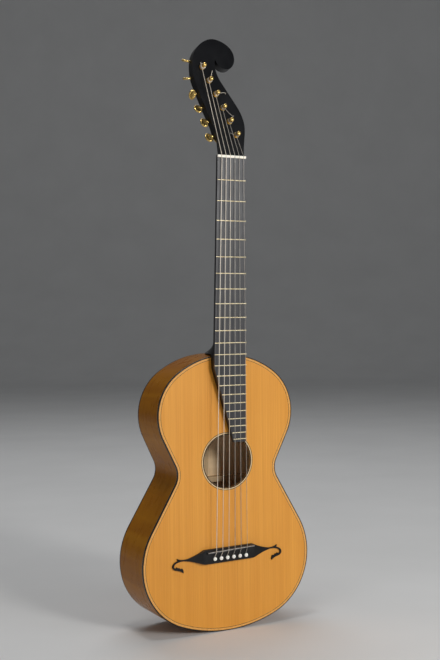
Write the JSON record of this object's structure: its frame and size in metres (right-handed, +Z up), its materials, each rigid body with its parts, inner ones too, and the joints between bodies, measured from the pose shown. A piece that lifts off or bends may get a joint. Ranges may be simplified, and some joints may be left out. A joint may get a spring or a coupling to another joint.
{
  "type": "romantic guitar",
  "caption": "Narrow-waisted romantic guitar with a scroll head, a floating adjustable neck, worm tuners, a moustache bridge and pull-out pins.",
  "frame": {"origin": "on the soundboard's outer face, on the centreline at the tail's edge", "axes": "+Z up the neck, -Y out of the soundboard, -X the bass side"},
  "size_m": [0.301, 0.131, 0.9498],
  "materials": {
    "spruce": "clear varnish on aged spruce",
    "maple": "glossy amber varnish",
    "pale_maple": "clear varnish",
    "dark_inlay": "glossy black",
    "ebonised_wood": "satin black",
    "ebony": "bare, polished by playing",
    "bone": "polished bone",
    "pin_bone": "polished bone with a dark eye",
    "brass": "lacquered and worn",
    "steel": "dull",
    "wound_string": "silver-plated winding",
    "plain_string": "translucent"
  },
  "bodies": {
    "body": {"soundboard": "spruce", "back": "maple", "rib_bass": "maple", "rib_treble": "maple", "neck_block": "spruce", "tail_block": "spruce", "top_lining": "spruce", "back_lining": "spruce", "front_binding": "dark_inlay", "back_binding": "dark_inlay", "front_purfling": "pale_maple", "purfling_line": "dark_inlay", "rosette_edge_ring": "dark_inlay", "rosette_maple_ring": "pale_maple", "rosette_outer_ring": "dark_inlay", "top_braces": "spruce", "back_braces": "spruce", "back_strip": "spruce", "bridge_plate": "maple", "bridge": "ebonised_wood", "saddle": "steel", "screw_nut_plate": "brass", "fulcrum_rod": "steel", "string_1": "wound_string", "string_2": "wound_string", "string_3": "wound_string", "string_4": "plain_string", "string_5": "plain_string", "string_6": "plain_string"},
    "neck": {"neck": "ebonised_wood", "fingerboard": "ebony", "fingerboard_support": "ebonised_wood", "frets": "brass", "nut": "bone", "headstock": "ebonised_wood", "tuner_cover": "brass", "cover_screws": "brass", "post_bushes": "brass"},
    "neck_screw": {"neck_screw": "steel"},
    "string_post_1": {"string_post_1": "brass"},
    "string_post_2": {"string_post_2": "brass"},
    "string_post_3": {"string_post_3": "brass"},
    "string_post_4": {"string_post_4": "brass"},
    "string_post_5": {"string_post_5": "brass"},
    "string_post_6": {"string_post_6": "brass"},
    "tuner_1": {"tuner_1": "brass"},
    "tuner_2": {"tuner_2": "brass"},
    "tuner_3": {"tuner_3": "brass"},
    "tuner_4": {"tuner_4": "brass"},
    "tuner_5": {"tuner_5": "brass"},
    "tuner_6": {"tuner_6": "brass"},
    "bridge_pin_1": {"bridge_pin_1": "pin_bone"},
    "bridge_pin_2": {"bridge_pin_2": "pin_bone"},
    "bridge_pin_3": {"bridge_pin_3": "pin_bone"},
    "bridge_pin_4": {"bridge_pin_4": "pin_bone"},
    "bridge_pin_5": {"bridge_pin_5": "pin_bone"},
    "bridge_pin_6": {"bridge_pin_6": "pin_bone"}
  },
  "joints": [
    {"name": "neck_tilt", "type": "hinge", "parent": "body", "child": "neck", "pos_m": [0, 0.0055, 0.4432], "axis": [1, 0, 0], "range_deg": [-0.4, 0.4], "deforming": ["string_1", "string_2", "string_3", "string_4", "string_5", "string_6"]},
    {"name": "neck_screw_turn", "type": "hinge", "parent": "neck", "child": "neck_screw", "pos_m": [0, 0.018, 0.447], "axis": [0, 0, 1], "range_deg": [-41, 41]},
    {"name": "tuner_1_turn", "type": "hinge", "parent": "neck", "child": "tuner_1", "pos_m": [-0.0312, 0.02123, 0.90691], "axis": [-0.9903, 0.0289, 0.1361], "continuous": true},
    {"name": "post_1_turn", "type": "hinge", "parent": "neck", "child": "string_post_1", "pos_m": [-0.03245, 0.01038, 0.90011], "axis": [0, -0.9781, 0.2079], "continuous": true},
    {"name": "tuner_2_turn", "type": "hinge", "parent": "neck", "child": "tuner_2", "pos_m": [-0.02417, 0.01663, 0.88526], "axis": [-0.9903, -0.0289, -0.1361], "continuous": true},
    {"name": "post_2_turn", "type": "hinge", "parent": "neck", "child": "string_post_2", "pos_m": [-0.02292, 0.00577, 0.87845], "axis": [0, -0.9781, 0.2079], "continuous": true},
    {"name": "tuner_3_turn", "type": "hinge", "parent": "neck", "child": "tuner_3", "pos_m": [-0.01557, 0.01198, 0.86342], "axis": [-0.9703, -0.0503, -0.2366], "continuous": true},
    {"name": "post_3_turn", "type": "hinge", "parent": "neck", "child": "string_post_3", "pos_m": [-0.01339, 0.00117, 0.85679], "axis": [0, -0.9781, 0.2079], "continuous": true},
    {"name": "tuner_4_turn", "type": "hinge", "parent": "neck", "child": "tuner_4", "pos_m": [-0.00619, 0.00737, 0.84173], "axis": [-0.9659, -0.0538, -0.2532], "continuous": true},
    {"name": "post_4_turn", "type": "hinge", "parent": "neck", "child": "string_post_4", "pos_m": [-0.00386, -0.00343, 0.83514], "axis": [0, -0.9781, 0.2079], "continuous": true},
    {"name": "tuner_5_turn", "type": "hinge", "parent": "neck", "child": "tuner_5", "pos_m": [0.00334, 0.00277, 0.82007], "axis": [-0.9659, -0.0538, -0.2532], "continuous": true},
    {"name": "post_5_turn", "type": "hinge", "parent": "neck", "child": "string_post_5", "pos_m": [0.00567, -0.00804, 0.81348], "axis": [0, -0.9781, 0.2079], "continuous": true},
    {"name": "tuner_6_turn", "type": "hinge", "parent": "neck", "child": "tuner_6", "pos_m": [0.01264, -0.00185, 0.79835], "axis": [-0.9588, -0.059, -0.2778], "continuous": true},
    {"name": "post_6_turn", "type": "hinge", "parent": "neck", "child": "string_post_6", "pos_m": [0.0152, -0.01264, 0.79183], "axis": [0, -0.9781, 0.2079], "continuous": true},
    {"name": "pin_1_pull", "type": "slide", "parent": "body", "child": "bridge_pin_1", "axis": [0, -1, 0], "range_m": [0, 0.026]},
    {"name": "pin_2_pull", "type": "slide", "parent": "body", "child": "bridge_pin_2", "axis": [0, -1, 0], "range_m": [0, 0.026]},
    {"name": "pin_3_pull", "type": "slide", "parent": "body", "child": "bridge_pin_3", "axis": [0, -1, 0], "range_m": [0, 0.026]},
    {"name": "pin_4_pull", "type": "slide", "parent": "body", "child": "bridge_pin_4", "axis": [0, -1, 0], "range_m": [0, 0.026]},
    {"name": "pin_5_pull", "type": "slide", "parent": "body", "child": "bridge_pin_5", "axis": [0, -1, 0], "range_m": [0, 0.026]},
    {"name": "pin_6_pull", "type": "slide", "parent": "body", "child": "bridge_pin_6", "axis": [0, -1, 0], "range_m": [0, 0.026]}
  ],
  "couplings": [
    {"joint": "neck_screw_turn", "follows": "neck_tilt", "ratio": 98.175},
    {"joint": "post_1_turn", "follows": "tuner_1_turn", "ratio": 0.071429},
    {"joint": "post_2_turn", "follows": "tuner_2_turn", "ratio": 0.071429},
    {"joint": "post_3_turn", "follows": "tuner_3_turn", "ratio": 0.071429},
    {"joint": "post_4_turn", "follows": "tuner_4_turn", "ratio": 0.071429},
    {"joint": "post_5_turn", "follows": "tuner_5_turn", "ratio": 0.071429},
    {"joint": "post_6_turn", "follows": "tuner_6_turn", "ratio": 0.071429}
  ]
}
